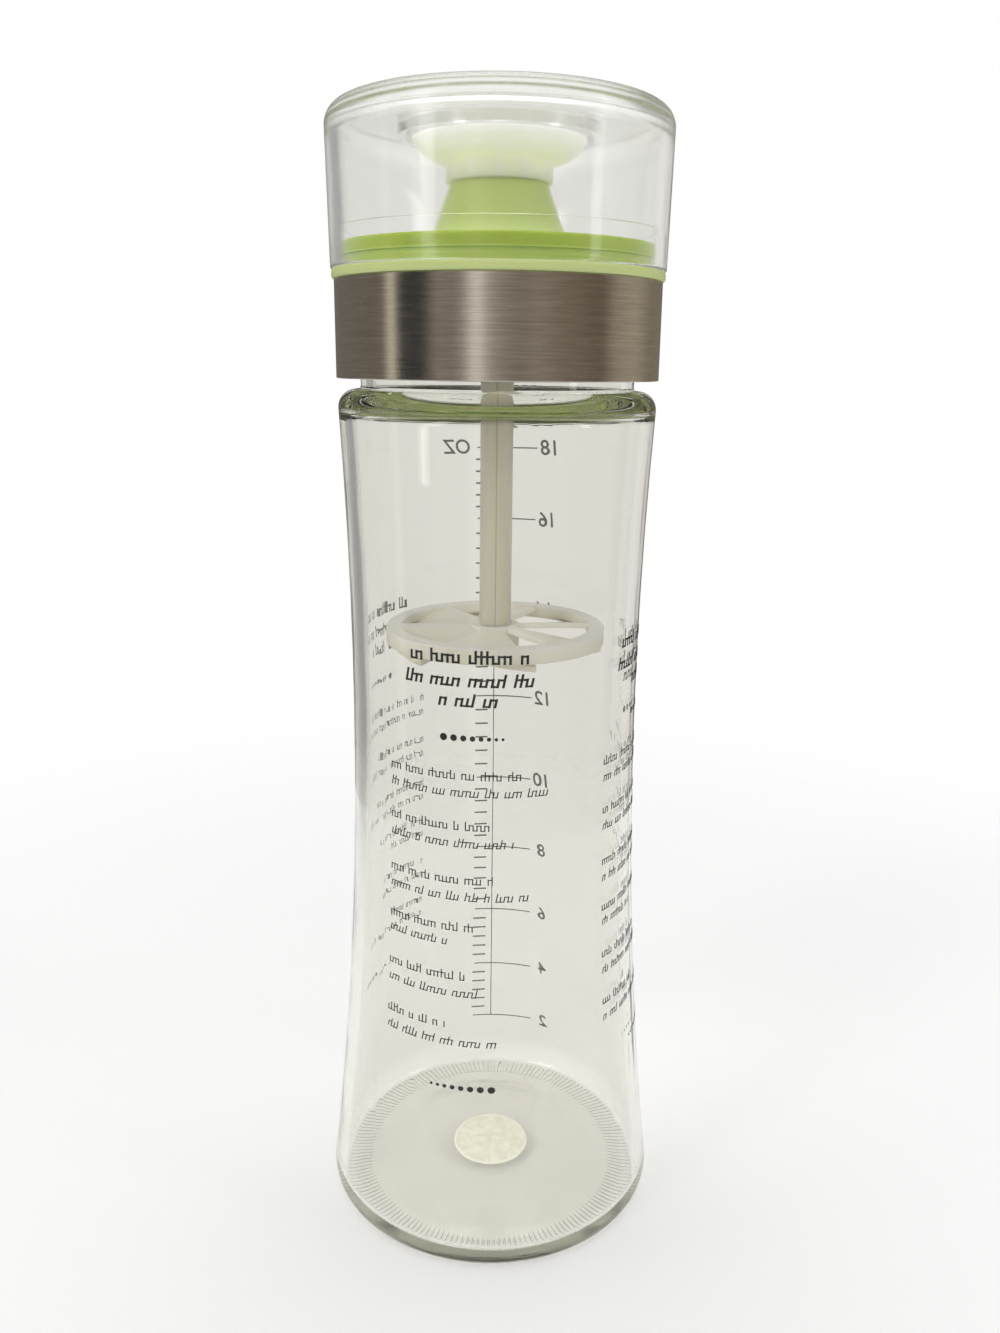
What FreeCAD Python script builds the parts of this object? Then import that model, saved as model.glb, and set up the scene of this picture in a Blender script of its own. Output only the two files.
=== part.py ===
import FreeCAD, Part
import math
import os

# A plunger-mixed salad dressing bottle, in millimetres.
# The bottle stands on z = 0 and every turned piece shares the Z axis.

# Glass body: the wall is one long arc, drawn in at the waist
waist_radius = 32.0
waist_height = 127.0
wall_curve_radius = 1040.0
wall_thickness = 2.7
shoulder_height = 191.2
shoulder_thickness = 3.6
shoulder_round = 3.8
shoulder_flat = 0.6
shoulder_inner_round = 2.4
heel_round = 3.0

# Glass base: bearing ring, hollow underside and domed floor
foot_width = 6.0
punt_height = 3.2
punt_edge_radius = 23.5
punt_edge_height = 1.7
base_thickness = 2.9
floor_drop = 3.9
floor_round = 1.8

# Glass neck
neck_wall = 2.7
neck_length = 18.4
neck_root_round = 0.6
rim_round = 1.0
neck_mouth_round = 1.2

# Round dot under the base
dot_radius = 9.3
dot_thickness = 0.5
dot_margin = 1.7

# Flat seal between glass rim and lid
seal_thickness = 1.6
seal_inset = 0.2

# Lid: skirt, plug wall, flange, snap ring and deck
thread_clearance = 0.8
skirt_wall = 3.55
band_gap = 2.2
seat_backing = 1.7
flange_lip = 0.5
flange_thickness = 1.95
flange_round = 0.7
ring_setback = 2.3
ring_wall = 2.4
ring_groove_height = 2.25
ring_groove_depth = 0.5
ring_lip_height = 2.7
ring_round = 0.6
dish_depth = 2.5
deck_thickness = 2.2
plug_clearance = 0.4
plug_wall = 1.6
plug_depth = 3.1

# Steel band round the skirt
band_thickness = 0.6
band_fit = 0.05
band_round = 0.25

# Pour spout with the spider that guides the rod
spout_foot_radius = 16.4
spout_top_radius = 10.0
spout_height = 14.4
spout_wall = 2.0
spout_mid_height_share = 0.625
spout_mid_radius_share = 0.31
spout_edge_round = 0.7
spout_foot_round = 1.5
guide_clearance = 0.07
guide_wall = 1.8
guide_height = 6.0
rib_count = 3
rib_thickness = 1.6
rib_height = 4.0

# Rod: a tube held in sockets at both ends
rod_radius = 3.55
rod_wall = 1.05
rod_reach = 91.4
socket_fit = 0.03

# Knob and the plug that stops the spout
stem_overhang = 0.9
stem_height = 3.7
bowl_height = 4.0
bowl_mid_height_share = 0.35
bowl_mid_radius_share = 0.64
knob_radius = 17.7
knob_rim_thickness = 0.4
knob_rim_width = 1.2
knob_dish_depth = 2.4
knob_dish_flat_radius = 6.0
stopper_length = 3.8
knob_socket_depth = 4.0
stopper_seal_height = 2.4
stopper_seal_wall = 1.7
stopper_clearance = 0.3

# Mixing disc: rim, hub and pitched vanes
disc_clearance = 1.88
disc_rim_width = 3.2
disc_rim_thickness = 2.2
disc_lip_depth = 3.3
disc_lip_thickness = 1.2
hub_wall = 1.8
hub_height = 7.0
hub_socket_depth = 5.0
vane_count = 6
vane_turn = 3.0
vane_pitch = 12.5
vane_thickness = 1.2
vane_root_width = 5.0
vane_tip_width = 28.0
vane_tip_inset = 0.5

# Clear overcap
cap_overhang = 0.15
cap_flare = 0.55
cap_clearance = 0.3
cap_headroom = 2.2
cap_ceiling_thickness = 3.7
cap_round = 4.0
cap_inner_round = 2.5
cap_step = 0.5
cap_step_gap = 2.7
cap_rim_round = 0.5
snap_bead_height = 1.0
snap_clearance = 0.12
collar_clearance = 1.3
collar_wall = 1.6
collar_depth = 2.2

# Shared helpers
fillet_limit_share = 0.45
cut_overrun = 1.0
turn_axis = FreeCAD.Vector(0, 0, 1)
origin = FreeCAD.Vector(0, 0, 0)
section_plane = Part.Plane(origin, FreeCAD.Vector(0, 1, 0))


def outer_wall(height):
    rise = height - waist_height
    return waist_radius + wall_curve_radius - math.sqrt(wall_curve_radius ** 2 - rise ** 2)


def inner_wall(height):
    rise = height - waist_height
    curve = wall_curve_radius + wall_thickness
    return waist_radius + wall_curve_radius - math.sqrt(curve ** 2 - rise ** 2)


# Places that several pieces share
foot_outer_radius = outer_wall(0)
foot_inner_radius = foot_outer_radius - heel_round - foot_width
punt_flat_radius = dot_radius + dot_margin
neck_radius = outer_wall(shoulder_height) - shoulder_round - shoulder_flat - neck_root_round
neck_bore_radius = neck_radius - neck_wall
rim_height = shoulder_height + neck_length
seat_height = rim_height + seal_thickness
skirt_bottom = shoulder_height + band_gap
skirt_inner_radius = neck_radius + thread_clearance
skirt_radius = skirt_inner_radius + skirt_wall
band_radius = skirt_radius + band_fit + band_thickness
flange_bottom = seat_height + seat_backing
flange_top = flange_bottom + flange_thickness
flange_radius = band_radius + flange_lip
ring_radius = flange_radius - ring_setback
ring_top = flange_top + ring_groove_height + ring_lip_height
deck_top = ring_top - dish_depth
deck_bottom = deck_top - deck_thickness
spout_top = deck_top + spout_height
spout_mouth_radius = spout_top_radius - spout_wall
rod_bore_radius = rod_radius - rod_wall
disc_radius = neck_bore_radius - disc_clearance
disc_top = spout_top - rod_reach
knob_top = spout_top + stem_height + bowl_height + knob_rim_thickness
cap_ceiling = knob_top + cap_headroom
cap_top = cap_ceiling + cap_ceiling_thickness


class Section:
    """Half section of a turned piece, drawn as radius and height; each corner may be rounded."""

    def __init__(self, radius, height):
        self.first = FreeCAD.Vector(radius, 0, height)
        self.here = self.first
        self.edges = []
        self.corners = []

    def line(self, radius, height, rounding=0):
        end = FreeCAD.Vector(radius, 0, height)
        return self.add(Part.makeLine(self.here, end), end, rounding)

    def arc(self, middle, end, rounding=0):
        through = FreeCAD.Vector(middle[0], 0, middle[1])
        last = FreeCAD.Vector(end[0], 0, end[1])
        return self.add(Part.Arc(self.here, through, last).toShape(), last, rounding)

    def add(self, edge, end, rounding):
        self.edges.append(edge)
        self.corners.append((end, rounding))
        self.here = end
        return self

    def turn(self):
        followers = self.edges[1:] + [Part.makeLine(self.here, self.first)]
        path = self.edges[:1]
        for edge, (corner, rounding) in zip(followers, self.corners):
            if rounding:
                fillet = Part.ChFi2d.FilletAlgo(path[-1], edge, section_plane)
                fillet.perform(rounding)
                bend, path[-1], edge = fillet.result(corner)
                path.append(bend)
            path.append(edge)
        return Part.Face(Part.Wire(path)).revolve(origin, turn_axis, 360)


def tube(inner_radius, outer_radius, bottom, top):
    """Plain ring or tube, or a solid rod when the inner radius is zero."""
    section = Section(inner_radius, bottom)
    return section.line(outer_radius, bottom).line(outer_radius, top).line(inner_radius, top).turn()


def level_middle(flat_radius, flat_height, edge_radius, edge_height):
    """Middle of the arc that leaves a level flat and runs out to an edge."""
    run = edge_radius - flat_radius
    drop = flat_height - edge_height
    bend = (run ** 2 + drop ** 2) / (2 * drop)
    half_angle = math.asin(run / abs(bend)) / 2
    middle_height = flat_height - bend + bend * math.cos(half_angle)
    return flat_radius + abs(bend) * math.sin(half_angle), middle_height


def fitted(rounding, wall):
    """A rounding, no larger than its wall has room for on both sides."""
    return min(rounding, fillet_limit_share * wall)


def repeated(solid, count):
    """Copies of a solid spaced evenly about the axis."""
    copies = []
    for index in range(count):
        copy = solid.copy()
        copy.rotate(origin, turn_axis, 360 * index / count)
        copies.append(copy)
    return copies


def glass_bottle():
    """Thick-walled bottle: hollow underside, waisted wall, shoulder, neck and domed floor."""
    cavity_top = shoulder_height - shoulder_thickness
    floor_centre = punt_height + base_thickness
    floor_edge = floor_centre - floor_drop
    punt = (punt_flat_radius, punt_height, punt_edge_radius, punt_edge_height)
    floor = (punt_flat_radius, floor_centre, inner_wall(floor_edge), floor_edge)
    section = Section(0, punt_height)
    section.line(punt_flat_radius, punt_height)
    section.arc(level_middle(*punt), (punt_edge_radius, punt_edge_height))
    section.line(foot_inner_radius, 0)
    section.line(foot_outer_radius, 0, heel_round)
    shoulder_edge = (outer_wall(shoulder_height), shoulder_height)
    section.arc((waist_radius, waist_height), shoulder_edge, shoulder_round)
    section.line(neck_radius, shoulder_height, neck_root_round)
    section.line(neck_radius, rim_height, fitted(rim_round, neck_wall))
    section.line(neck_bore_radius, rim_height, fitted(rim_round, neck_wall))
    section.line(neck_bore_radius, cavity_top, neck_mouth_round)
    section.line(inner_wall(cavity_top), cavity_top, shoulder_inner_round)
    inner_waist = (waist_radius - wall_thickness, waist_height)
    section.arc(inner_waist, (inner_wall(floor_edge), floor_edge), floor_round)
    section.arc(level_middle(*floor), (punt_flat_radius, floor_centre))
    section.line(0, floor_centre)
    return section.turn()


def base_dot():
    return tube(0, dot_radius, punt_height - dot_thickness, punt_height)


def neck_seal():
    return tube(neck_bore_radius + seal_inset, neck_radius - seal_inset, rim_height, seat_height)


def spout_side(inset, bottom):
    """Foot, middle and mouth of the spout's flared side, set in by a wall."""
    middle_radius = spout_top_radius + spout_mid_radius_share * (spout_foot_radius - spout_top_radius)
    foot = (spout_foot_radius - inset, bottom)
    middle = (middle_radius - inset, deck_top + spout_mid_height_share * spout_height)
    mouth = (spout_top_radius - inset, spout_top)
    return foot, middle, mouth


def lid_shell():
    """Skirt, plug wall, flange, snap ring, dished deck and hollow spout, turned in one piece."""
    plug_radius = neck_bore_radius - plug_clearance
    plug_bottom = seat_height - plug_depth
    lip_bottom = flange_top + ring_groove_height
    groove_radius = ring_radius - ring_groove_depth
    inner_foot, inner_middle, inner_mouth = spout_side(spout_wall, deck_bottom)
    outer_foot, outer_middle, outer_mouth = spout_side(0, deck_top)
    section = Section(skirt_inner_radius, skirt_bottom)
    section.line(skirt_inner_radius, seat_height)
    section.line(plug_radius, seat_height)
    section.line(plug_radius, plug_bottom)
    section.line(plug_radius - plug_wall, plug_bottom)
    section.line(plug_radius - plug_wall, deck_bottom)
    section.line(*inner_foot)
    section.arc(inner_middle, inner_mouth)
    section.line(*outer_mouth, fitted(spout_edge_round, spout_wall))
    section.arc(outer_middle, outer_foot, spout_foot_round)
    section.line(ring_radius - ring_wall, deck_top)
    section.line(ring_radius - ring_wall, ring_top, fitted(ring_round, ring_wall))
    section.line(ring_radius, ring_top, fitted(ring_round, ring_wall))
    section.line(ring_radius, lip_bottom)
    section.line(groove_radius, lip_bottom)
    section.line(groove_radius, flange_top)
    section.line(flange_radius, flange_top, fitted(flange_round, flange_thickness))
    section.line(flange_radius, flange_bottom, fitted(flange_round, flange_thickness))
    section.line(skirt_radius, flange_bottom)
    section.line(skirt_radius, skirt_bottom)
    return section.turn()


def rod_guide():
    """Hub on thin ribs inside the spout: the rod runs in it and the dressing flows past it."""
    hub_inner = rod_radius + guide_clearance
    hub = tube(hub_inner, hub_inner + guide_wall, deck_bottom, deck_bottom + guide_height)
    foot, middle, mouth = spout_side(spout_wall / 2, deck_bottom)
    core = Section(0, deck_bottom).line(*foot).arc(middle, mouth).line(0, spout_top).turn()
    rib_start = hub_inner + guide_wall / 2
    rib = Part.makeBox(spout_foot_radius, rib_thickness, rib_height)
    rib.translate(FreeCAD.Vector(rib_start, -rib_thickness / 2, deck_bottom))
    ribs = [copy.common(core) for copy in repeated(rib, rib_count)]
    return hub.fuse(ribs)


def pour_lid():
    return lid_shell().fuse(rod_guide()).removeSplitter()


def steel_band():
    inner = skirt_radius + band_fit
    section = Section(inner, skirt_bottom)
    section.line(band_radius, skirt_bottom, fitted(band_round, band_thickness))
    section.line(band_radius, flange_bottom, fitted(band_round, band_thickness))
    return section.line(inner, flange_bottom).turn()


def rod_socket(bottom, top):
    """Ring-shaped hole that takes the end of the rod's tube."""
    return tube(rod_bore_radius - socket_fit, rod_radius + socket_fit, bottom, top)


def plunger_knob():
    """Shallow bowl on a stem, with a stopper below that enters the spout's mouth."""
    stem_radius = spout_top_radius + stem_overhang
    stopper_radius = spout_mouth_radius - stopper_clearance - stopper_seal_wall
    stopper_bottom = spout_top - stopper_length
    bowl_bottom = spout_top + stem_height
    bowl_middle_radius = stem_radius + bowl_mid_radius_share * (knob_radius - stem_radius)
    bowl_middle_height = bowl_bottom + bowl_mid_height_share * bowl_height
    dish_radius = knob_radius - knob_rim_width
    dish_bottom = knob_top - knob_dish_depth
    dish = (knob_dish_flat_radius, dish_bottom, dish_radius, knob_top)
    section = Section(0, stopper_bottom)
    section.line(stopper_radius, stopper_bottom)
    section.line(stopper_radius, spout_top)
    section.line(stem_radius, spout_top)
    section.line(stem_radius, bowl_bottom)
    section.arc((bowl_middle_radius, bowl_middle_height), (knob_radius, bowl_bottom + bowl_height))
    section.line(knob_radius, knob_top)
    section.line(dish_radius, knob_top)
    section.arc(level_middle(*dish), (knob_dish_flat_radius, dish_bottom))
    knob = section.line(0, dish_bottom).turn()
    return knob.cut(rod_socket(stopper_bottom - cut_overrun, spout_top + knob_socket_depth))


def stopper_seal():
    outer = spout_mouth_radius - stopper_clearance
    inner = outer - stopper_seal_wall + socket_fit
    return tube(inner, outer, spout_top - stopper_seal_height, spout_top)


def plunger_rod():
    return tube(rod_bore_radius, rod_radius, disc_top - hub_socket_depth, spout_top + knob_socket_depth)


def disc_vane():
    """One pitched vane: its upper edge runs out level with the disc's top, and it falls away from there."""
    root = rod_radius + hub_wall / 2
    corners = [
        FreeCAD.Vector(root, 0, disc_top),
        FreeCAD.Vector(disc_radius, 0, disc_top),
        FreeCAD.Vector(disc_radius, vane_tip_width, disc_top),
        FreeCAD.Vector(root, vane_root_width, disc_top),
    ]
    outline = Part.makePolygon(corners + corners[:1])
    vane = Part.Face(outline).extrude(FreeCAD.Vector(0, 0, -vane_thickness))
    vane.rotate(corners[0], FreeCAD.Vector(1, 0, 0), -vane_pitch)
    vane = vane.common(tube(0, disc_radius - vane_tip_inset, disc_top - hub_height, disc_top))
    vane.rotate(origin, turn_axis, vane_turn)
    return vane


def mixing_disc():
    rim = tube(disc_radius - disc_rim_width, disc_radius, disc_top - disc_rim_thickness, disc_top)
    lip = tube(disc_radius - disc_lip_thickness, disc_radius, disc_top - disc_lip_depth, disc_top)
    hub = tube(0, rod_radius + hub_wall, disc_top - hub_height, disc_top)
    disc = hub.fuse([rim, lip] + repeated(disc_vane(), vane_count)).removeSplitter()
    return disc.cut(rod_socket(disc_top - hub_socket_depth, disc_top + cut_overrun))


def clear_cap():
    cap_radius = flange_radius + cap_overhang
    socket_radius = ring_radius + cap_clearance
    step_height = ring_top + cap_step_gap
    inner_radius = socket_radius - cap_step
    bead_radius = ring_radius + snap_clearance
    bead_top = flange_top + ring_groove_height
    collar_inner = knob_radius + collar_clearance
    section = Section(socket_radius, flange_top)
    section.line(cap_radius, flange_top, cap_rim_round)
    section.line(cap_radius + cap_flare, cap_top, cap_round)
    section.line(0, cap_top)
    section.line(0, cap_ceiling)
    section.line(collar_inner, cap_ceiling)
    section.line(collar_inner, cap_ceiling - collar_depth)
    section.line(collar_inner + collar_wall, cap_ceiling - collar_depth)
    section.line(collar_inner + collar_wall, cap_ceiling)
    section.line(inner_radius + cap_flare, cap_ceiling, cap_inner_round)
    section.line(inner_radius, step_height)
    section.line(socket_radius, step_height)
    section.line(socket_radius, bead_top)
    section.line(bead_radius, bead_top)
    section.line(bead_radius, bead_top - snap_bead_height)
    section.line(socket_radius, bead_top - snap_bead_height)
    return section.turn()


pieces = {
    "glass_bottle": glass_bottle,
    "base_dot": base_dot,
    "neck_seal": neck_seal,
    "pour_lid": pour_lid,
    "steel_band": steel_band,
    "plunger_knob": plunger_knob,
    "stopper_seal": stopper_seal,
    "plunger_rod": plunger_rod,
    "mixing_disc": mixing_disc,
    "clear_cap": clear_cap,
}

os.makedirs("parts", exist_ok=True)
for name, make in pieces.items():
    shape = make()
    solids = shape.Solids
    box = shape.optimalBoundingBox()
    print(name, len(solids), shape.isValid(), round(shape.Volume), round(box.ZMin, 2), round(box.ZMax, 2))
    solids[0].exportStep(f"parts/{name}.step")
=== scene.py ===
import math
import random

import bpy
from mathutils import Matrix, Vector


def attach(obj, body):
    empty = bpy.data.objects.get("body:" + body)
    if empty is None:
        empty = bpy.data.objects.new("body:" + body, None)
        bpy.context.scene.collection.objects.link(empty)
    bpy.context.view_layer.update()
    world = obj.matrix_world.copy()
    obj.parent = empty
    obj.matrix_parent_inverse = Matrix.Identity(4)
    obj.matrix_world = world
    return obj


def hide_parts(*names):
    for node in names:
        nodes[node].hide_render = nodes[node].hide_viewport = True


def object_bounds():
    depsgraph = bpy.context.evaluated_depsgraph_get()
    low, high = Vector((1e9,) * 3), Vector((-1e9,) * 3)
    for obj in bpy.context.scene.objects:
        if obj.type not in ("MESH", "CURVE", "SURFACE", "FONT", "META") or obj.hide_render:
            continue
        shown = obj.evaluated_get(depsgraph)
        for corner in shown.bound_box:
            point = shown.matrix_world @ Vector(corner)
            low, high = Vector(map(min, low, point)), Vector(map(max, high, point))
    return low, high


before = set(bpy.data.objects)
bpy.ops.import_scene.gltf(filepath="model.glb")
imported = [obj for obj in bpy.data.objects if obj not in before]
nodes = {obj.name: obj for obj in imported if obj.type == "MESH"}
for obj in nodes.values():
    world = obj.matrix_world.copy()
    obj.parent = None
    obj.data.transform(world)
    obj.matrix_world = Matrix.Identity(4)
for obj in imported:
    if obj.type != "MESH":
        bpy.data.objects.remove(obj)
cadLow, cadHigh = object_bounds()
mm = 0.001  # one millimetre in metres
print("frame loaded:", len(nodes), "nodes")


class Sock:
    # one shader socket: + - * / ** on it add Math nodes, node() adds any other kind
    def __init__(self, tree, socket=None):
        self.tree = tree
        self.socket = socket

    def node(self, kind, settings=None, inputs=None, output=0):
        made = self.tree.nodes.new("ShaderNode" + kind)
        for name, value in (settings or {}).items():
            if name == "stops":
                setStops(made.color_ramp, value)
            else:
                setattr(made, name, value)
        for name, value in (inputs or {}).items():
            plug(self.tree, value, made.inputs[name])
        return Sock(self.tree, made.outputs[output])

    def other(self, output):
        return Sock(self.tree, self.socket.node.outputs[output])

    def maths(self, operation, first, second):
        return self.node("Math", {"operation": operation}, {0: first, 1: second})

    def __add__(self, more):
        return self.maths("ADD", self, more)

    def __radd__(self, more):
        return self.maths("ADD", more, self)

    def __sub__(self, less):
        return self.maths("SUBTRACT", self, less)

    def __rsub__(self, start):
        return self.maths("SUBTRACT", start, self)

    def __mul__(self, factor):
        return self.maths("MULTIPLY", self, factor)

    def __rmul__(self, factor):
        return self.maths("MULTIPLY", factor, self)

    def __truediv__(self, divisor):
        return self.maths("DIVIDE", self, divisor)

    def __pow__(self, power):
        return self.maths("POWER", self, power)

    def __abs__(self):
        return self.node("Math", {"operation": "ABSOLUTE"}, {0: self})

    def wave(self, count):  # cosine of count times this angle
        return self.node("Math", {"operation": "COSINE"}, {0: self * count})

    def ramp(self, low, high):  # 0 below low, 1 above high, smooth between
        limits = {"Value": self, "From Min": low, "From Max": high}
        return self.node("MapRange", {"interpolation_type": "SMOOTHSTEP"}, limits)

    def mix(self, first, second):  # colour mix, this value is the factor
        return self.node("Mix", {"data_type": "RGBA"}, {0: self, 6: first, 7: second}, 2)


def plug(tree, value, socket):
    if isinstance(value, Sock):
        tree.links.new(value.socket, socket)
    else:
        socket.default_value = value


def setStops(ramp, stops):  # first stop at 0, last at 1
    ramp.elements[0].color = stops[0][1]
    ramp.elements[1].color = stops[-1][1]
    for position, colour in stops[1:-1]:
        ramp.elements.new(position).color = colour


def startMaterial(name, settings):
    material = bpy.data.materials.new(name)
    material.use_nodes = True
    shader = material.node_tree.nodes["Principled BSDF"]
    for socket, value in settings.items():
        shader.inputs[socket].default_value = value
    return material, shader, Sock(material.node_tree).node("TexCoord", output="Object")


shaderSockets = {
    "colour": "Base Color",
    "roughness": "Roughness",
    "normal": "Normal",
    "fade": "Alpha",
    "glow": "Emission Color",
}


def feed(shader, **values):
    for word, value in values.items():
        plug(shader.id_data, value, shader.inputs[shaderSockets[word]])


def along(place, axis):  # one coordinate of a point: 0 is x, 1 is y, 2 is z
    return place.node("SeparateXYZ", inputs={0: place}, output=axis)


def heightOf(place):
    return along(place, 2)


def fromAxis(place):  # distance from the bottle's axis
    x = along(place, 0)
    y = along(place, 1)
    return (x * x + y * y) ** 0.5


def aroundAxis(place):  # angle about the bottle's axis, 0 at the front
    x = along(place, 0)
    return x.maths("ARCTAN2", x, 0 - along(place, 1))


def noiseOn(place, scale, detail=2.0, roughness=0.5):
    values = {"Vector": place, "Scale": scale, "Detail": detail, "Roughness": roughness}
    return place.node("TexNoise", inputs=values)


def stretched(place, scale):
    return place.node("VectorMath", {"operation": "MULTIPLY"}, {0: place, 1: scale})


def bumpFrom(height, distance, strength):
    return height.node("Bump", inputs={"Height": height, "Distance": distance, "Strength": strength})


def lampsThrough(place, share):  # clear pieces cast a light shadow
    return 1 - share * place.node("LightPath", output="Is Shadow Ray")


def throughGlass(place, colour):  # painted light: glows only where it is seen through glass, making up for what the glass in front takes
    return place.node("LightPath", output="Is Transmission Ray").mix((0, 0, 0, 1), colour)


# in the looks below a noise is its scale, detail and, where given, roughness, a range or reach is
# where something starts and where it is full, and a roughness pair is the least and what noise adds

glassLook = {
    "clear": (0.885, 0.876, 0.846, 1),
    "thick": (0.865, 0.859, 0.826, 1),
    # painted light: near its base the glass is tinted clearer than the wall, to lift the shade under the
    # bottle seen through it
    "base": (0.98, 0.98, 0.965, 1),
    "baseRange": (4.0 * mm, 12.0 * mm),
    "depthColour": (0.79, 0.785, 0.72, 1),  # what a long way through the glass leaves
    "depthDensity": 45.0,
    "bend": 1.46,  # index of refraction
    "shadowThrough": 0.95,  # share of lamp light that the wall lets on
    "tintNoise": (14.0, 2.0),
    "smudgeNoise": (60.0, 4.0),
    "smudgeRange": (0.55, 0.8),
    "smudgeRoughness": 0.02,
    "waveNoise": (45.0, 1.0),
    "waveDepth": 0.2 * mm,
    "footHeight": 0.35 * mm,  # the bearing ring is knurled up to here
    "footRoughness": 0.06,
    "knurlCount": 170,
    "knurlRange": (0.2, 0.9),
    "knurlDepth": 0.18 * mm,
    "bumpStrength": 0.6,
}


def clearGlass():
    look = glassLook
    settings = {"IOR": look["bend"], "Transmission Weight": 1.0}
    material, shader, place = startMaterial("clear_glass_look", settings)
    z = heightOf(place)
    smudges = noiseOn(place, *look["smudgeNoise"]).ramp(*look["smudgeRange"])
    foot = 1 - z.ramp(0, look["footHeight"])
    knurl = aroundAxis(place).wave(look["knurlCount"]).ramp(*look["knurlRange"])
    waves = noiseOn(place, *look["waveNoise"])
    shape = waves * look["waveDepth"] + foot * knurl * look["knurlDepth"]
    wall = noiseOn(place, *look["tintNoise"]).mix(look["clear"], look["thick"])
    feed(
        shader,
        # the clearer tint near the base is painted light
        colour=z.ramp(*look["baseRange"]).mix(look["base"], wall),
        roughness=smudges * look["smudgeRoughness"] + foot * look["footRoughness"],
        normal=bumpFrom(shape, 1.0, look["bumpStrength"]),  # the shape is in metres already
        fade=lampsThrough(place, look["shadowThrough"]),
    )
    depth = {"Color": look["depthColour"], "Density": look["depthDensity"]}
    absorbed = place.node("VolumeAbsorption", inputs=depth)
    plug(material.node_tree, absorbed, material.node_tree.nodes["Material Output"].inputs["Volume"])
    return material


capLook = {
    "clear": (0.87, 0.868, 0.842, 1),
    "tint": (0.846, 0.847, 0.828, 1),
    # painted highlight: the rim is tinted clearer than the wall, so it shows lighter as though catching
    # light
    "rim": (0.95, 0.95, 0.925, 1),
    "bend": 1.4,
    "shadowThrough": 0.97,
    "tintNoise": (30.0, 2.0),
    "smudgeNoise": (70.0, 4.0),
    "smudgeRange": (0.5, 0.8),
    "scratchStretch": (900, 900, 60),
    "scratchNoise": (1.0, 3.0),
    "scratchRange": (0.62, 0.75),
    "roughness": 0.08,
    "smudgeRoughness": 0.05,
    "scratchRoughness": 0.06,
    "rimRoughness": 0.13,  # the rounded rim is moulded dull
    "rimRange": (238.0 * mm, 241.5 * mm),
    "rimReach": (29.0 * mm, 31.0 * mm),
    "waveNoise": (60.0, 1.0),
    "waveDepth": 0.1 * mm,
    "bumpStrength": 0.5,
}


def clearPlastic():
    look = capLook
    settings = {"IOR": look["bend"], "Transmission Weight": 1.0}
    material, shader, place = startMaterial("clear_cap_look", settings)
    drawn = noiseOn(stretched(place, look["scratchStretch"]), *look["scratchNoise"])
    scratches = drawn.ramp(*look["scratchRange"])
    smudges = noiseOn(place, *look["smudgeNoise"]).ramp(*look["smudgeRange"])
    rim = heightOf(place).ramp(*look["rimRange"]) * fromAxis(place).ramp(*look["rimReach"])
    wall = noiseOn(place, *look["tintNoise"]).mix(look["clear"], look["tint"])
    marks = smudges * look["smudgeRoughness"] + scratches * look["scratchRoughness"]
    feed(
        shader,
        # the paler rim colour is a painted highlight
        colour=rim.mix(wall, look["rim"]),
        roughness=look["roughness"] + marks + rim * look["rimRoughness"],
        normal=bumpFrom(noiseOn(place, *look["waveNoise"]), look["waveDepth"], look["bumpStrength"]),
        fade=lampsThrough(place, look["shadowThrough"]),
    )
    return material


greenLook = {
    "deep": (0.33, 0.44, 0.02, 1),
    "light": (0.38, 0.50, 0.035, 1),
    "ringFoot": (0.46, 0.60, 0.10, 1),
    "pale": (0.54, 0.62, 0.26, 1),  # skirt and flange
    "spout": (0.45, 0.54, 0.18, 1),
    "spoutFoot": (0.76, 0.90, 0.40, 1),
    "flangeRange": (214.8 * mm, 215.0 * mm),
    "ringRange": (217.2 * mm, 217.6 * mm),
    "spoutRange": (217.4 * mm, 226.0 * mm),
    "ringReach": (26.0 * mm, 29.0 * mm),
    "flowNoise": (55.0, 3.0),
    "flowRange": (0.3, 0.75),
    "grainNoise": (2600.0, 2.0),
    "grainDepth": 0.02 * mm,
    "grainStrength": 0.5,
    "roughness": (0.26, 0.14),
    "softness": 0.4,  # share of light that goes under the surface
    "softReach": (0.7, 1.0, 0.25),
    "softScale": 4.0 * mm,
}


def softLight(look):
    return {
        "Subsurface Weight": look["softness"],
        "Subsurface Radius": look["softReach"],
        "Subsurface Scale": look["softScale"],
    }


def roughFrom(look, noise):
    least, more = look["roughness"]
    return least + more * noise


def greenPlastic():
    look = greenLook
    material, shader, place = startMaterial("green_plastic_look", softLight(look))
    z = heightOf(place)
    grain = noiseOn(place, *look["grainNoise"])
    flow = noiseOn(place, *look["flowNoise"]).ramp(*look["flowRange"])
    ring = z.ramp(*look["ringRange"]).mix(look["ringFoot"], flow.mix(look["deep"], look["light"]))
    spout = z.ramp(*look["spoutRange"]).mix(look["spoutFoot"], look["spout"])
    upper = fromAxis(place).ramp(*look["ringReach"]).mix(spout, ring)
    feed(
        shader,
        colour=z.ramp(*look["flangeRange"]).mix(look["pale"], upper),
        roughness=roughFrom(look, grain),
        normal=bumpFrom(grain, look["grainDepth"], look["grainStrength"]),
    )
    return material


steelLook = {
    "dark": (0.44, 0.413, 0.38, 1),
    "bright": (0.59, 0.56, 0.52, 1),
    "brushStretch": (70, 70, 8200),  # long round the band, fine up and down
    "brushNoise": (1.0, 4.0, 0.6),
    "brushShare": 0.7,
    "scuffStretch": (160, 160, 1500),
    "scuffNoise": (1.0, 2.0),
    "scuffShare": 0.3,
    "brightRange": (0.3, 0.7),
    "roughness": (0.14, 0.2),
    "grooveDepth": 0.03 * mm,
    "grooveStrength": 0.5,
    "anisotropy": 0.8,
    "brushTurn": 0.25,  # a quarter turn: brushed round the band
}


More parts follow.
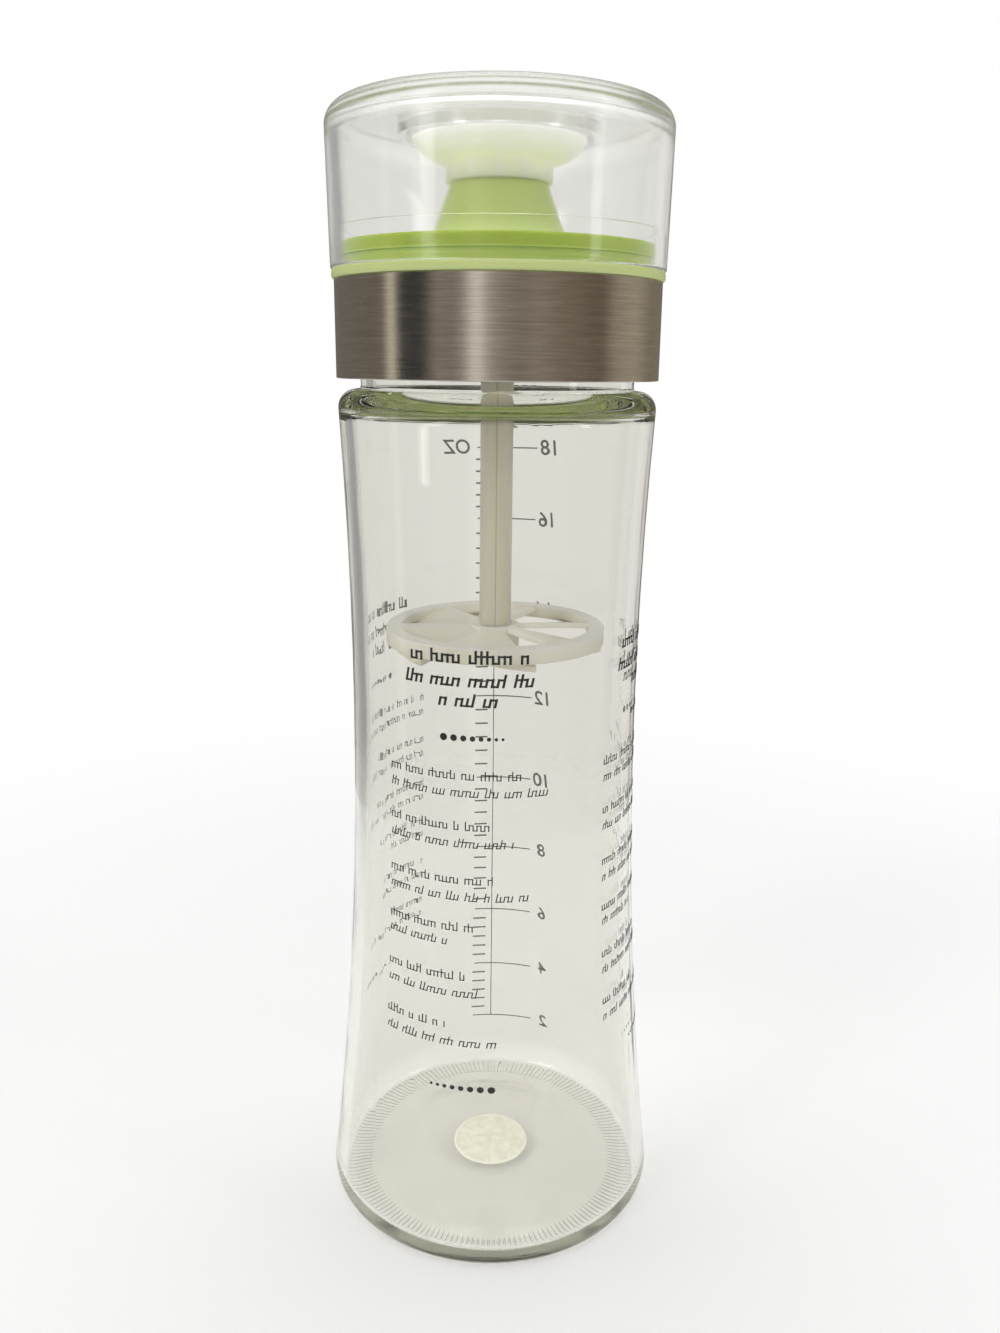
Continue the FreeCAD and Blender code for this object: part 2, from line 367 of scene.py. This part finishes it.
def brushedSteel():
    look = steelLook
    settings = {
        "Metallic": 1.0,
        "Anisotropic": look["anisotropy"],
        "Anisotropic Rotation": look["brushTurn"],
    }
    material, shader, place = startMaterial("brushed_steel_look", settings)
    brush = noiseOn(stretched(place, look["brushStretch"]), *look["brushNoise"])
    scuff = noiseOn(stretched(place, look["scuffStretch"]), *look["scuffNoise"])
    grooves = brush * look["brushShare"] + scuff * look["scuffShare"]
    feed(
        shader,
        colour=grooves.ramp(*look["brightRange"]).mix(look["dark"], look["bright"]),
        roughness=roughFrom(look, grooves),
        normal=bumpFrom(grooves, look["grooveDepth"], look["grooveStrength"]),
    )
    return material


knobLook = {
    "milk": (0.97, 0.97, 0.93, 1),
    "stem": (1.0, 0.97, 0.70, 1),
    "stripe": (1.0, 0.99, 0.84, 1),
    "flareRange": (10.9 * mm, 16.0 * mm),  # from the stem out to the bowl
    "stripeCount": 12,
    "stripeRange": (0.8, 1.0),
    "stripeShare": 0.7,
    "hazeNoise": (180.0, 3.0),
    "roughness": (0.3, 0.15),
    "grainNoise": (1500.0, 2.0),
    "grainDepth": 0.02 * mm,
    "grainStrength": 0.4,
    "softness": 1.0,
    "softReach": (1.0, 0.95, 0.8),
    "softScale": 12.0 * mm,
}


def milkyPlastic():
    look = knobLook
    material, shader, place = startMaterial("milky_plastic_look", softLight(look))
    stripes = aroundAxis(place).wave(look["stripeCount"]).ramp(*look["stripeRange"])
    stemColour = (stripes * look["stripeShare"]).mix(look["stem"], look["stripe"])
    flare = fromAxis(place).ramp(*look["flareRange"])
    feed(
        shader,
        colour=flare.mix(stemColour, look["milk"]),
        roughness=roughFrom(look, noiseOn(place, *look["hazeNoise"])),
        normal=bumpFrom(noiseOn(place, *look["grainNoise"]), look["grainDepth"], look["grainStrength"]),
    )
    return material


naturalPlastic = {
    "bend": 1.4,
    "sheenRoughness": 0.3,
    "hazeNoise": (220.0, 3.0),
    "softness": 0.6,
    "softReach": (1.0, 0.95, 0.8),
    "softScale": 3.0 * mm,
}


def startNatural(name, look):
    settings = softLight(naturalPlastic)
    settings["IOR"] = naturalPlastic["bend"]
    settings["Transmission Weight"] = look["clearness"]
    settings["Sheen Weight"] = look["sheen"]
    settings["Sheen Roughness"] = naturalPlastic["sheenRoughness"]
    return startMaterial(name, settings)


rodLook = {
    "warm": (0.92, 0.88, 0.73, 1),
    "pale": (0.97, 0.94, 0.84, 1),
    "seam": (0.66, 0.61, 0.48, 1),
    "seamRange": (0.12 * mm, 0.24 * mm),  # mould seam front and back
    "drawnStretch": (500, 500, 12),
    "drawnNoise": (1.0, 3.0),
    "drawnRange": (0.3, 0.75),
    "drawnDepth": 0.03 * mm,
    "drawnStrength": 0.4,
    "roughness": (0.3, 0.15),
    "clearness": 0.5,
    "sheen": 0.5,
}


def naturalRod():
    look = rodLook
    material, shader, place = startNatural("natural_rod_look", look)
    drawn = noiseOn(stretched(place, look["drawnStretch"]), *look["drawnNoise"])
    tube = drawn.ramp(*look["drawnRange"]).mix(look["warm"], look["pale"])
    seam = 1 - abs(along(place, 0)).ramp(*look["seamRange"])
    feed(
        shader,
        colour=seam.mix(tube, look["seam"]),
        roughness=roughFrom(look, noiseOn(place, *naturalPlastic["hazeNoise"])),
        normal=bumpFrom(drawn, look["drawnDepth"], look["drawnStrength"]),
    )
    return material


discLook = {
    # painted shade and highlight: the vanes are painted paler towards their tops and darker lower down,
    # as though lit from above, and their upper edges get a pale painted highlight
    "warm": (0.97, 0.89, 0.72, 1),
    "pale": (1.0, 0.96, 0.84, 1),
    "edge": (1.0, 0.98, 0.92, 1),
    "paintedShadeRange": (135.0 * mm, 140.3 * mm),
    "edgeRange": (139.8 * mm, 140.1 * mm),
    "paleRange": (0.1, 0.95),
    "paintedShadeShare": 0.8,
    "flowShare": 0.3,
    "flowNoise": (90.0, 3.0),
    "flowDepth": 0.05 * mm,
    "flowStrength": 0.3,
    "roughness": (0.28, 0.15),
    "clearness": 0.1,
    "sheen": 0.4,
}


def naturalDisc():
    look = discLook
    material, shader, place = startNatural("natural_disc_look", look)
    z = heightOf(place)
    flow = noiseOn(place, *look["flowNoise"])
    # painted shade: paler up the vanes and darker low down, mixed with random flow; the edge colour below
    # is a painted highlight
    paintedShadeAndFlow = z.ramp(*look["paintedShadeRange"]) * look["paintedShadeShare"] + flow * look["flowShare"]
    vaneWithPaintedShade = paintedShadeAndFlow.ramp(*look["paleRange"]).mix(look["warm"], look["pale"])
    feed(
        shader,
        colour=z.ramp(*look["edgeRange"]).mix(vaneWithPaintedShade, look["edge"]),
        roughness=roughFrom(look, noiseOn(place, *naturalPlastic["hazeNoise"])),
        normal=bumpFrom(flow, look["flowDepth"], look["flowStrength"]),
    )
    return material


neckSealLook = {
    # its green shows in the shoulder; its glow is painted light, standing in for the light that comes
    # through the lid above it
    "dark": (0.62, 0.70, 0.36, 1),
    "light": (0.72, 0.78, 0.46, 1),
    "glow": (0.20, 0.24, 0.08, 1),
}
stopperSealLook = {
    "dark": (0.55, 0.56, 0.52, 1),
    "light": (0.66, 0.67, 0.63, 1),
    "glow": (0, 0, 0, 1),
}
sealRubber = {
    "softness": 0.5,
    "softScale": 3.0 * mm,
    "grainNoise": (900.0, 3.0),
    "grainDepth": 0.03 * mm,
    "grainStrength": 0.5,
    "roughness": (0.42, 0.2),
}


def softSeal(name, look):
    # a look's glow is painted light: the seal emits it though it is no lamp
    settings = {
        "Subsurface Weight": sealRubber["softness"],
        "Subsurface Scale": sealRubber["softScale"],
        "Emission Color": look["glow"],
        "Emission Strength": 1.0,
    }
    material, shader, place = startMaterial(name, settings)
    grain = noiseOn(place, *sealRubber["grainNoise"])
    feed(
        shader,
        colour=grain.mix(look["dark"], look["light"]),
        roughness=roughFrom(sealRubber, grain),
        normal=bumpFrom(grain, sealRubber["grainDepth"], sealRubber["grainStrength"]),
    )
    return material


dotLook = {
    "pale": (0.96, 0.95, 0.87, 1),
    "mottle": (0.76, 0.77, 0.67, 1),
    "edge": (0.98, 0.98, 0.93, 1),
    "edgeRange": (8.6 * mm, 9.1 * mm),
    # painted light: the spot glows this when seen through the glass, making up for the lamp light the
    # glass keeps off it
    "glow": (0.36, 0.36, 0.3, 1),
    "mottleNoise": (420.0, 5.0, 0.65),
    "mottleRange": (0.35, 0.62),
    "mottleDepth": 0.2 * mm,
    "mottleStrength": 0.6,
    "roughness": (0.45, 0.3),
}


def mottledDot():
    look = dotLook
    material, shader, place = startMaterial("mottled_dot_look", {"Emission Strength": 1.0})
    mottle = noiseOn(place, *look["mottleNoise"])
    face = mottle.ramp(*look["mottleRange"]).mix(look["mottle"], look["pale"])
    feed(
        shader,
        colour=fromAxis(place).ramp(*look["edgeRange"]).mix(face, look["edge"]),
        roughness=roughFrom(look, mottle),
        normal=bumpFrom(mottle, look["mottleDepth"], look["mottleStrength"]),
        # painted light: a glow seen only through the glass
        glow=throughGlass(place, look["glow"]),
    )
    return material


inkLook = {
    "black": (0.012, 0.012, 0.012, 1),
    "worn": (0.05, 0.049, 0.045, 1),
    "paintedGlow": (0.07, 0.07, 0.066, 1),  # painted light: the ink glows this where it is seen through the glass, so the print on the far wall shows greyer
    "wearNoise": (700.0, 4.0),
    "wearRange": (0.45, 0.8),
    "roughness": (0.42, 0.2),
}


def printInk():
    look = inkLook
    material, shader, place = startMaterial("print_ink_look", {"Emission Strength": 1.0})
    wear = noiseOn(place, *look["wearNoise"]).ramp(*look["wearRange"])
    feed(
        shader,
        colour=wear.mix(look["black"], look["worn"]),
        roughness=roughFrom(look, wear),
        glow=throughGlass(place, look["paintedGlow"]),
    )
    return material


looks = {
    "glass_bottle": clearGlass(),
    "neck_seal": softSeal("neck_seal_look", neckSealLook),
    "pour_lid": greenPlastic(),
    "steel_band": brushedSteel(),
    "plunger_knob": milkyPlastic(),
    "stopper_seal": softSeal("stopper_seal_look", stopperSealLook),
    "plunger_rod": naturalRod(),
    "mixing_disc": naturalDisc(),
    "clear_cap": clearPlastic(),
}


def paint(obj, material):
    obj.data.materials.clear()
    obj.data.materials.append(material)


for node, material in looks.items():
    paint(nodes[node], material)
mottled = mottledDot()
ink = printInk()
print("materials set on", len(looks), "nodes")


def deselect():  # an operator acts on all that is selected
    bpy.ops.object.select_all(action="DESELECT")


def newest():
    return bpy.context.view_layer.objects.active


def alone(obj):
    deselect()
    obj.select_set(True)
    bpy.context.view_layer.objects.active = obj


def settle():  # the place goes into the mesh
    bpy.ops.object.transform_apply(location=True, rotation=True, scale=True)


def applyModifier(kind, **settings):
    bpy.ops.object.modifier_add(type=kind)
    modifier = newest().modifiers[-1]
    for name, value in settings.items():
        setattr(modifier, name, value)
    bpy.ops.object.modifier_apply(modifier=modifier.name)


def joined(objects, name):
    alone(objects[0])
    for obj in objects[1:]:
        obj.select_set(True)
    bpy.ops.object.join()
    made = newest()
    made.name = name
    made.data.name = name
    return made


smoothAngle = math.radians(40)
edgeSegments = 3
spotSizes = {"radius": 9.3 * mm, "low": 2.72 * mm, "high": 3.14 * mm, "edge": 0.14 * mm, "sides": 96}


def makeSpot():
    # the pale spot under the base, kept just clear of the glass above it
    sizes = spotSizes
    height = sizes["high"] - sizes["low"]
    middle = (0, 0, sizes["low"] + height / 2)
    deselect()
    bpy.ops.mesh.primitive_cylinder_add(
        vertices=sizes["sides"], radius=sizes["radius"], depth=height, location=middle
    )
    spot = newest()
    spot.name = "base_spot"
    settle()
    applyModifier("BEVEL", width=sizes["edge"], segments=edgeSegments)
    bpy.ops.object.shade_smooth_by_angle(angle=smoothAngle)
    paint(spot, mottled)
    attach(spot, "bottle")
    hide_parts("base_dot")


makeSpot()
print("base spot set")

# the threads' sizes are in millimetres and degrees
neckThread = {
    "inside": 29.0,
    "outside": 29.4,
    "height": 1.6,
    "start": 198.0,
    "rise": 3.2,
    "sweep": 80.0,
    "starts": 4,
    "edge": 0.14,
}
lidThread = {
    "inside": 29.47,
    "outside": 29.77,
    "height": 1.4,
    "start": 195.6,
    "rise": 1.2,
    "sweep": 36.0,
    "starts": 4,
    "edge": 0.1,
}
threadSteps = 36
threadMerge = 0.001  # swept points nearer than this are one


def sweepRidge(sizes):
    # a square outline, swept round and up and closed at its ends
    middle = ((sizes["inside"] + sizes["outside"]) / 2, 0, sizes["start"])
    deselect()
    bpy.ops.mesh.primitive_plane_add(size=1, location=middle, rotation=(math.pi / 2, 0, 0))
    ridge = newest()
    ridge.scale = (sizes["outside"] - sizes["inside"], sizes["height"], 1)
    settle()
    bpy.ops.object.mode_set(mode="EDIT")
    bpy.ops.mesh.select_all(action="SELECT")
    bpy.ops.mesh.delete(type="ONLY_FACE")
    bpy.ops.object.mode_set(mode="OBJECT")
    applyModifier(
        "SCREW",
        angle=math.radians(sizes["sweep"]),
        screw_offset=sizes["rise"],
        steps=threadSteps,
        render_steps=threadSteps,
    )
    bpy.ops.object.mode_set(mode="EDIT")
    bpy.ops.mesh.select_all(action="SELECT")
    bpy.ops.mesh.remove_doubles(threshold=threadMerge)
    bpy.ops.mesh.fill_holes(sides=4)
    bpy.ops.mesh.select_all(action="SELECT")
    bpy.ops.mesh.normals_make_consistent(inside=False)
    bpy.ops.object.mode_set(mode="OBJECT")
    applyModifier("BEVEL", width=sizes["edge"], segments=edgeSegments)
    return ridge


def makeThread(name, sizes, body, material):
    ridges = []
    for index in range(sizes["starts"]):
        ridge = sweepRidge(sizes)
        ridge.rotation_euler = (0, 0, 2 * math.pi * index / sizes["starts"])
        ridge.scale = (mm, mm, mm)
        settle()
        ridges.append(ridge)
    thread = joined(ridges, name)
    bpy.ops.object.shade_smooth_by_angle(angle=smoothAngle)
    paint(thread, material)
    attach(thread, body)


makeThread("neck_thread", neckThread, "bottle", looks["glass_bottle"])
makeThread("lid_thread", lidThread, "lid", looks["pour_lid"])
print("threads swept")

# print is drawn flat in millimetres, x along the wall and y up
glassWall = {"waistRadius": 32.0, "waistHeight": 127.0, "curveRadius": 1040.0}
inkSizes = {"lift": 0.05, "thickness": 0.05}


def wallRadius(height):
    rise = height - glassWall["waistHeight"]
    curve = glassWall["curveRadius"]
    return glassWall["waistRadius"] + curve - math.sqrt(curve ** 2 - rise ** 2)


def wrapOnGlass(flat, facing):
    alone(flat)
    settle()
    applyModifier("SOLIDIFY", thickness=inkSizes["thickness"], offset=1)
    for vertex in flat.data.vertices:
        across, height, lift = vertex.co
        angle = math.radians(facing) + across / glassWall["waistRadius"]
        radius = wallRadius(height) + inkSizes["lift"] + lift
        vertex.co = Vector((radius * math.sin(angle), -radius * math.cos(angle), height)) * mm
    flat.data.update()


def inkPiece(parts, name, facing):
    flat = joined(parts, name)
    wrapOnGlass(flat, facing)
    paint(flat, ink)
    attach(flat, "bottle")


def bar(left, bottom, width, height, cuts=0):
    deselect()
    bpy.ops.mesh.primitive_plane_add(size=1, location=(left + width / 2, bottom + height / 2, 0))
    obj = newest()
    obj.scale = (width, height, 1)
    if cuts:
        bpy.ops.object.mode_set(mode="EDIT")
        bpy.ops.mesh.subdivide(number_cuts=cuts)
        bpy.ops.object.mode_set(mode="OBJECT")
    return obj


scalePrint = {
    "facing": 181.0,
    "marks": {18: 176.8, 16: 159.5, 14: 137.2, 12: 113.8, 10: 91.3, 8: 71.0, 6: 52.0, 4: 34.5, 2: 17.0},
    "stroke": 0.3,
    "tickStroke": 0.42,
    "longTick": (-10.6, 4.4),
    "shortTick": (1.5, 4.8),
    "stepsPerMark": 6,
    "lineCuts": 40,  # so that the flat print bends round the glass
    "tickCuts": 8,
    "numeralAt": -14.1,
    "numeralSize": 5.1,
    "unitAt": 9.5,
    "unitSize": 4.8,
    "slant": 0.12,
    "bolder": 0.06,
}


def label(words, centre, height, size):
    deselect()
    bpy.ops.object.text_add(location=(centre, height, 0))
    text = newest().data
    text.body = words
    text.size = size
    text.shear = scalePrint["slant"]
    text.offset = scalePrint["bolder"]
    text.align_x = "CENTER"
    text.align_y = "CENTER"
    bpy.ops.object.convert(target="MESH")
    return newest()


def makeScale():
    sizes = scalePrint
    stroke = sizes["stroke"]
    heights = list(sizes["marks"].values())
    parts = [bar(-stroke / 2, heights[-1], stroke, heights[0] - heights[-1], sizes["lineCuts"])]
    for value, height in sizes["marks"].items():
        left, right = sizes["longTick"]
        parts.append(bar(left, height - stroke / 2, right - left, stroke, sizes["tickCuts"]))
        parts.append(label(str(value), sizes["numeralAt"], height, sizes["numeralSize"]))
    tickStroke = sizes["tickStroke"]
    for upper, lower in zip(heights, heights[1:]):
        left, right = sizes["shortTick"]
        for step in range(1, sizes["stepsPerMark"]):
            height = upper + (lower - upper) * step / sizes["stepsPerMark"]
            parts.append(bar(left, height - tickStroke / 2, right - left, tickStroke))
    parts.append(label("OZ", sizes["unitAt"], heights[0], sizes["unitSize"]))
    inkPiece(parts, "scale_print", sizes["facing"])


rowPrint = {
    # height, start from the left margin, width
    "titleRows": [(140.0, 5.6, 25.9), (135.2, 4.2, 28.6), (131.0, 11.8, 13.2)],
    # height, width
    "noteRows": [
        (115.1, 29.8), (111.4, 35.6), (104.0, 23.5), (100.2, 28.2), (92.0, 24.4), (88.2, 31.2),
        (81.2, 20.6), (77.8, 14.5), (69.9, 18.8), (66.0, 21.2), (58.4, 14.7), (54.4, 26.1),
    ],
    "slant": 0.2,
    # height, start
    "upperDots": (123.4, 12.2),
    "lowerDots": (43.8, 11.0),
    "dotSizes": [0.78, 0.71, 0.64, 0.57, 0.5, 0.43, 0.36, 0.3],
    "dotGap": 0.68,
    "dotSides": 20,
    # side, where it faces, share of the widths above, seed of its strokes
    "panels": [("front", -41.7, 1.0, 3), ("right", 47.0, 0.95, 5), ("left", -143.0, 0.9, 8)],
}
titleStroke = {"low": 1.9, "tall": 2.8, "stroke": 0.52, "pitch": 1.15}
noteStroke = {"low": 1.35, "tall": 2.0, "stroke": 0.25, "pitch": 0.8}
strokeHabit = {
    "firstRun": (2, 7),  # fewest and most strokes before a gap
    "run": (2, 8),
    "tallShare": 0.22,
    "lowTieShare": 0.4,
    "tieThickness": 0.8,  # of the stroke's
    "tieStart": 0.3,  # ties keep clear of the strokes' own edges and of each other
    "tieShorter": 0.15,
    "tieLift": 0.03,
}


def strokeRow(sizes, height, start, width, slant, draw):
    # word-long runs of plain upright strokes, tied in turn at top and bottom
    habit = strokeHabit
    parts = []
    count = int(width / sizes["pitch"])
    left = draw.randint(*habit["firstRun"])
    base = height - sizes["low"] / 2
    for index in range(count):
        x = start + index * sizes["pitch"]
        if left == 0:
            left = draw.randint(*habit["run"])
            continue
        left -= 1
        tall = draw.random() < habit["tallShare"]
        parts.append(bar(x, base, sizes["stroke"], sizes["tall"] if tall else sizes["low"]))
        if left and index < count - 1:
            low = draw.random() < habit["lowTieShare"]
            tieAt = base if low else base + sizes["low"] - sizes["stroke"]
            tieLeft = x + sizes["stroke"] * habit["tieStart"]
            tieHeight = sizes["stroke"] * habit["tieThickness"]
            tieWidth = sizes["pitch"] - sizes["stroke"] * habit["tieShorter"]
            parts.append(bar(tieLeft, tieAt + habit["tieLift"], tieWidth, tieHeight))
    row = joined(parts, "row")
    alone(row)
    settle()
    for vertex in row.data.vertices:
        vertex.co.x += (vertex.co.y - base) * slant
    return row


def dotRow(height, start, radii):
    parts = []
    left = start
    for radius in radii:
        deselect()
        middle = (left + radius, height, 0)
        bpy.ops.mesh.primitive_circle_add(
            vertices=rowPrint["dotSides"], radius=radius, fill_type="NGON", location=middle
        )
        parts.append(newest())
        left += 2 * radius + rowPrint["dotGap"]
    return parts


def makeRows(side, facing, widthShare, seed):
    draw = random.Random(seed)
    parts = []
    for index, (height, start, width) in enumerate(rowPrint["titleRows"]):
        slant = rowPrint["slant"] if index else 0  # the first row is upright
        parts.append(strokeRow(titleStroke, height, start, width * widthShare, slant, draw))
    for index, (height, width) in enumerate(rowPrint["noteRows"]):
        slant = rowPrint["slant"] * (index % 2)  # every second row leans
        parts.append(strokeRow(noteStroke, height, 0, width * widthShare, slant, draw))
    parts += dotRow(*rowPrint["upperDots"], rowPrint["dotSizes"])
    parts += dotRow(*rowPrint["lowerDots"], rowPrint["dotSizes"][::-1])
    inkPiece(parts, side + "_rows_print", facing)


makeScale()
for panel in rowPrint["panels"]:
    makeRows(*panel)
print("print laid on the glass")


lights = {
    # location, size across and up, watts, warm or cool colour
    "keyPanel": ((-0.6, -0.55, 0.6), (0.18, 0.8), 2.2, (1.0, 0.98, 0.95)),
    "fillPanel": ((0.75, -0.3, 0.45), (0.12, 0.7), 1.2, (0.97, 0.98, 1.0)),
    "topPanel": ((0.0, 0.15, 0.95), (0.6, 0.4), 1.4, (1.0, 1.0, 1.0)),
}
aimPoint = Vector((0, 0, 0.12))


def addLights():
    for name, (location, (across, up), watts, colour) in lights.items():
        data = bpy.data.lights.new(name, "AREA")
        data.shape = "RECTANGLE"
        data.size = across
        data.size_y = up
        data.energy = watts
        data.color = colour
        lamp = bpy.data.objects.new(name, data)
        bpy.context.scene.collection.objects.link(lamp)
        lamp.location = location
        lamp.visible_glossy = False  # gloss sees the curtain instead
        lamp.rotation_euler = (aimPoint - Vector(location)).to_track_quat("-Z", "Y").to_euler()


worldLight = {"level": 0.68, "seen": 1.0}  # what lights the set, and what shows as white


def addWorld():
    world = bpy.data.worlds.new("studio")
    bpy.context.scene.world = world
    world.use_nodes = True
    tree = world.node_tree
    background = tree.nodes["Background"]
    background.inputs["Color"].default_value = (1, 1, 1, 1)
    path = Sock(tree).node("LightPath", output="Is Camera Ray")
    seen = path.maths("MAXIMUM", path, path.other("Is Glossy Ray"))
    seen = path.maths("MAXIMUM", seen, path.other("Is Transmission Ray"))
    more = worldLight["seen"] - worldLight["level"]
    plug(tree, worldLight["level"] + more * seen, background.inputs["Strength"])


floorSizes = {
    "across": 4.0,
    "gap": 0.1 * mm,
    "fadeRange": (0.1, 0.4),  # distances from the bottle's axis
    "colour": (0.99, 0.99, 0.99, 1),
    "shade": (0.97, 0.97, 0.97, 1),
    "shadeNoise": (9.0, 2.0),
    "behindGlass": (0.12, 0.12, 0.11, 1),
    "roughness": 0.9,
    "gloss": 0.1,
}


def addFloor():
    sizes = floorSizes
    deselect()
    bpy.ops.mesh.primitive_plane_add(size=sizes["across"], location=(0, 0, cadLow.z - sizes["gap"]))
    floor = newest()
    floor.name = "studio_floor"
    settings = {
        "Roughness": sizes["roughness"],
        "Specular IOR Level": sizes["gloss"],
        "Emission Strength": 1.0,
    }
    material, shader, place = startMaterial("studio_floor_look", settings)
    feed(
        shader,
        colour=noiseOn(place, *sizes["shadeNoise"]).mix(sizes["colour"], sizes["shade"]),
        fade=1 - fromAxis(place).ramp(*sizes["fadeRange"]),
        glow=throughGlass(place, sizes["behindGlass"]),
    )
    paint(floor, material)


curtain = {
    # a tall ring of cloth round the set that only gloss sees
    "radius": 1.3,
    "low": -0.4,
    "high": 1.6,
    "sides": 96,
    # share of the way round from behind, colour
    "folds": [
        (0.00, (0.16, 0.14, 0.12, 1)), (0.15, (0.22, 0.20, 0.17, 1)), (0.27, (0.21, 0.18, 0.14, 1)),
        (0.29, (1.15, 1.08, 0.88, 1)), (0.304, (0.03, 0.03, 0.028, 1)), (0.36, (0.04, 0.038, 0.035, 1)),
        (0.387, (0.36, 0.31, 0.26, 1)), (0.412, (0.24, 0.21, 0.175, 1)), (0.438, (0.36, 0.325, 0.275, 1)),
        (0.46, (1.25, 1.19, 1.05, 1)), (0.482, (0.50, 0.46, 0.40, 1)), (0.506, (0.36, 0.32, 0.265, 1)),
        (0.54, (0.26, 0.22, 0.175, 1)), (0.575, (0.34, 0.29, 0.23, 1)), (0.62, (0.26, 0.21, 0.155, 1)),
        (0.71, (0.17, 0.13, 0.09, 1)), (0.74, (0.42, 0.36, 0.28, 1)), (0.80, (0.52, 0.46, 0.36, 1)),
        (0.855, (0.30, 0.26, 0.20, 1)), (1.00, (0.16, 0.14, 0.12, 1)),
    ],
}


def addCurtain():
    height = curtain["high"] - curtain["low"]
    middle = (0, 0, curtain["low"] + height / 2)
    deselect()
    bpy.ops.mesh.primitive_cylinder_add(
        vertices=curtain["sides"],
        radius=curtain["radius"],
        depth=height,
        end_fill_type="NOTHING",
        location=middle,
    )
    cloth = newest()
    cloth.name = "studio_curtain"
    settle()
    settings = {
        "Base Color": (0, 0, 0, 1),
        "Roughness": 1.0,
        "Specular IOR Level": 0,
        "Emission Strength": 1.0,
    }
    material, shader, place = startMaterial("studio_curtain_look", settings)
    turn = aroundAxis(place) / (2 * math.pi) + 0.5
    feed(shader, glow=turn.node("ValToRGB", {"stops": curtain["folds"]}, {0: turn}))
    paint(cloth, material)
    cloth.visible_camera = False
    cloth.visible_diffuse = False
    cloth.visible_transmission = False
    cloth.visible_shadow = False


sideCard = {
    # a soft grey card that only shows through the clear wall, along its left edge
    "location": (-0.63, 0.79, -0.1),
    "across": 0.5,
    "up": 1.8,
    "fadeRange": (1.015, 1.038),  # distances from the bottle's axis
    "colour": (0.5, 0.5, 0.51, 1),
    "stain": (0.56, 0.56, 0.57, 1),
    "stainNoise": (9.0, 2.0),
}


def addSideCard():
    sizes = sideCard
    deselect()
    bpy.ops.mesh.primitive_plane_add(size=1, location=sizes["location"])
    card = newest()
    card.name = "studio_side_card"
    card.scale = (sizes["across"], sizes["up"], 1)
    away = Vector(sizes["location"]) - aimPoint
    card.rotation_euler = (math.pi / 2, 0, math.atan2(away.x, -away.y))
    settle()
    settings = {"Roughness": 1.0, "Specular IOR Level": 0}
    material, shader, place = startMaterial("studio_side_card_look", settings)
    feed(
        shader,
        colour=noiseOn(place, *sizes["stainNoise"]).mix(sizes["colour"], sizes["stain"]),
        fade=1 - fromAxis(place).ramp(*sizes["fadeRange"]),
    )
    paint(card, material)
    card.visible_camera = False
    card.visible_diffuse = False
    card.visible_glossy = False
    card.visible_shadow = False


rayBounces = {"total": 24, "glossy": 16, "through": 24}  # thick clear pieces need many


def setBounces():
    cycles = bpy.context.scene.cycles
    cycles.max_bounces = rayBounces["total"]
    cycles.glossy_bounces = rayBounces["glossy"]
    cycles.transmission_bounces = rayBounces["through"]


cameraView = {
    "sensor": 36,
    "focalPixels": 1115.4,
    "frameHeight": 1333,
    "location": (0.00119, -0.2453, 0.1974),
    "pitch": 15.38,  # degrees below level
    "roll": 0.621,
    "nearest": 0.01,
}


def addCamera():
    view = cameraView
    data = bpy.data.cameras.new("photo_camera")
    data.sensor_width = view["sensor"]
    data.lens = view["sensor"] * view["focalPixels"] / view["frameHeight"]
    data.clip_start = view["nearest"]
    camera = bpy.data.objects.new("photo_camera", data)
    bpy.context.scene.collection.objects.link(camera)
    camera.location = view["location"]
    camera.rotation_mode = "XYZ"
    camera.rotation_euler = (math.radians(90 - view["pitch"]), 0, 0)
    camera.rotation_euler.rotate_axis("Z", math.radians(view["roll"]))
    bpy.context.scene.camera = camera


addLights()
addWorld()
addFloor()
addCurtain()
addSideCard()
setBounces()
addCamera()
bpy.context.scene.view_settings.view_transform = "Standard"
print("studio ready")
